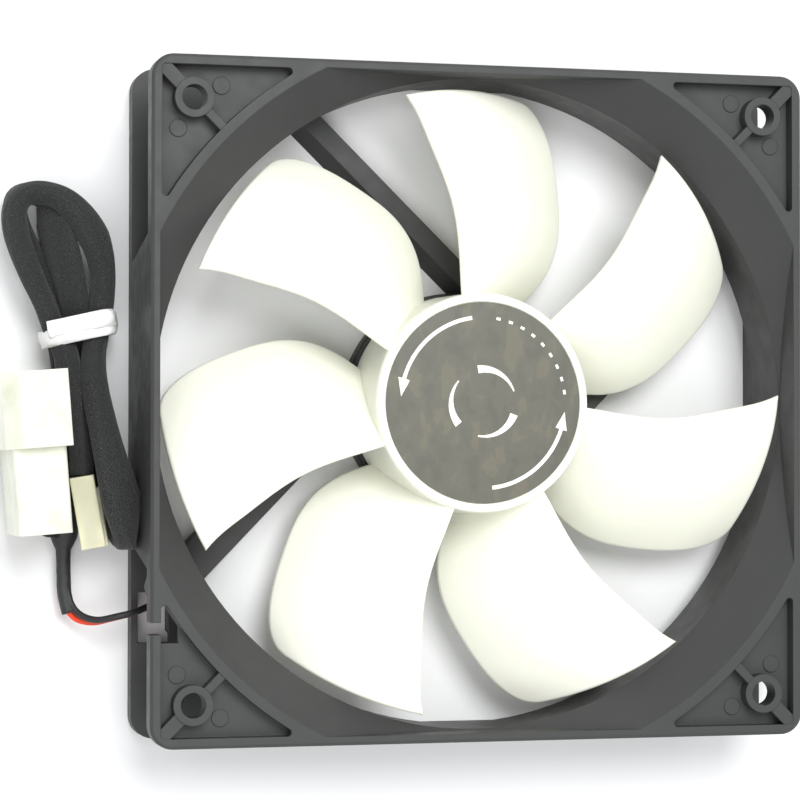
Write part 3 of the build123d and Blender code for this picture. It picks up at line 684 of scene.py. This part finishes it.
sleeve_line, sleeve_shares = even_points(spline_points([row[:3] for row in SLEEVE]), 0.5)
sleeve = tube("braided_sleeve", sleeve_line, sleeve_shares, sleeve_section, 56)
add_piece(sleeve, HOUSING, braid(), ["sleeve_lower", "lead_hank", "sleeve_tail"])


# ================================================================ the tie

TIE_AT = (-70.05, 13.0)
TIE_TURN = math.radians(13.0)
TIE_HALF_X, TIE_HALF_Z, TIE_MIDDLE_Z = 6.4, 5.2, 5.7
TIE_LAYER = 0.5           # how far the outer turn stands off the inner one
TIE_SQUARE = 0.55         # the tie's loop: 1 is an ellipse, and less is squarer
TIE_START, TIE_SWEEP = math.radians(133), math.radians(560)
TIE_HALF_WIDTH, TIE_HALF_THICK, TIE_CROWN = 1.6, 0.24, 0.18
TIE_FOLD, TIE_WRINKLE = 0.36, 0.17
TIE_DRIFT_START, TIE_DRIFT = 0.8, 1.55     # the band shifts along the hank as it goes round
TIE_GAP = 0.2             # the least distance from the floor
TIE_RINGS, TIE_AROUND = 220, 16


def tie_place(turn, out, along):
    """A place on the tie: turn round the waist, distance out from it and along the hank."""
    c, s = math.cos(turn), math.sin(turn)
    x = math.copysign(abs(c) ** TIE_SQUARE, c) * (TIE_HALF_X + out)
    z = math.copysign(abs(s) ** TIE_SQUARE, s) * (TIE_HALF_Z + out) + TIE_MIDDLE_Z
    local = Matrix.Rotation(TIE_TURN, 3, "Z") @ Vector((x, along, 0))
    return to_m((TIE_AT[0] + local.x, TIE_AT[1] + local.y, max(z, TIE_GAP)))


def tie_band():
    """A soft vinyl strap that goes round the hank twice, its outer end lying on top."""
    vertices, faces = [], []
    for i in range(TIE_RINGS + 1):
        share = i / TIE_RINGS
        turn = TIE_START - share * TIE_SWEEP
        layer = TIE_LAYER * max(0.0, 1 - share * 1.7)
        drift = TIE_DRIFT_START - TIE_DRIFT * min(1.0, max(0.0, (share - 0.12) / 0.5))
        drift += 0.3 * noise.noise(Vector((share * 5, 0.0, 2.0)))
        for j in range(TIE_AROUND):
            a = 2 * math.pi * j / TIE_AROUND
            edge = math.copysign(abs(math.cos(a)) ** 0.6, math.cos(a))
            half = TIE_HALF_WIDTH + 0.12 * noise.noise(Vector((share * 9, 3.0, 0.0)))
            fold = TIE_FOLD * noise.noise(Vector((share * 11, edge * 1.3, 9.0)))
            fold += TIE_WRINKLE * noise.noise(Vector((share * 30, edge * 2.6, 4.0)))
            crown = TIE_CROWN * (1 - edge * edge)
            out = layer + fold + crown + TIE_HALF_THICK * math.sin(a)
            vertices.append(tie_place(turn, out, drift + edge * half))
    for i in range(TIE_RINGS):
        row, following = i * TIE_AROUND, (i + 1) * TIE_AROUND
        for j in range(TIE_AROUND):
            k = (j + 1) % TIE_AROUND
            faces.append([row + j, following + j, following + k, row + k])
    faces.append(list(range(TIE_AROUND)))
    faces.append([TIE_RINGS * TIE_AROUND + j for j in reversed(range(TIE_AROUND))])
    return new_object("tie_band", vertices, faces)


tie = tie_band()
add_piece(tie, HOUSING, tie_vinyl(), ["twist_tie"])


# ================================================================ print on the hub label

PRINT_R, SWIRL_R = 15.2, 6.0
PRINT_LIFT, PRINT_THICK = 0.005, 0.02
ARROW_STARTS, ARROW_SWEEP = (-84, 98), 66     # degrees about the hub
ARROW_STEP, ARROW_HEAD_TURN = 3, 12
ARROW_WIDTH, ARROW_HEAD, ARROW_TIP = 0.7, 2.2, 0.04
DASH_STARTS, DASH_SWEEP, DASH_WIDTH = range(6, 87, 9), 3, 0.5
SWIRL_STARTS, SWIRL_STEP, SWIRL_STEPS = (20, 140, 260), 4, 21
SWIRL_THIN, SWIRL_GROWTH = 0.25, 0.06         # the width of an arm, and what each step adds


def ring_strokes(name, strokes, low, thick):
    """Thin printed strokes; each one is a circle's radius and a list of (degrees, width) along it."""
    vertices, faces = [], []
    for radius, stroke in strokes:
        start = len(vertices)
        for degrees, width in stroke:
            turn, half = math.radians(degrees), width / 2
            for r, z in ((half, thick), (-half, thick), (-half, 0.0), (half, 0.0)):
                x, y = (radius + r) * math.cos(turn), (radius + r) * math.sin(turn)
                vertices.append(to_m((x, y, low + z)))
        for i in range(len(stroke) - 1):
            row = start + 4 * i
            for j in range(4):
                k = (j + 1) % 4
                faces.append([row + k, row + j, row + 4 + j, row + 4 + k])
        last = start + 4 * (len(stroke) - 1)
        faces.append([start, start + 1, start + 2, start + 3])
        faces.append([last + 3, last + 2, last + 1, last])
    piece = new_object(name, vertices, faces)
    piece.data.polygons.foreach_set("use_smooth", [False] * len(faces))
    return piece


def label_print():
    """Two rotation arrows and a row of dashes on one circle, round a plain three-armed swirl."""
    strokes = []
    for start in ARROW_STARTS:
        end = start + ARROW_SWEEP
        shaft = [(turn, ARROW_WIDTH) for turn in range(start, end + 1, ARROW_STEP)]
        head = [(end + 0.1, ARROW_HEAD), (end + ARROW_HEAD_TURN, ARROW_TIP)]
        strokes.append((PRINT_R, shaft + head))
    for start in DASH_STARTS:
        strokes.append((PRINT_R, [(start, DASH_WIDTH), (start + DASH_SWEEP, DASH_WIDTH)]))
    for start in SWIRL_STARTS:
        arm = [(start + SWIRL_STEP * i, SWIRL_THIN + SWIRL_GROWTH * i) for i in range(SWIRL_STEPS)]
        strokes.append((SWIRL_R, arm))
    label_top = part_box("hub_label")[1].z / MM
    return ring_strokes("label_print", strokes, label_top + PRINT_LIFT, PRINT_THICK)


add_piece(label_print(), ROTOR, print_ink())
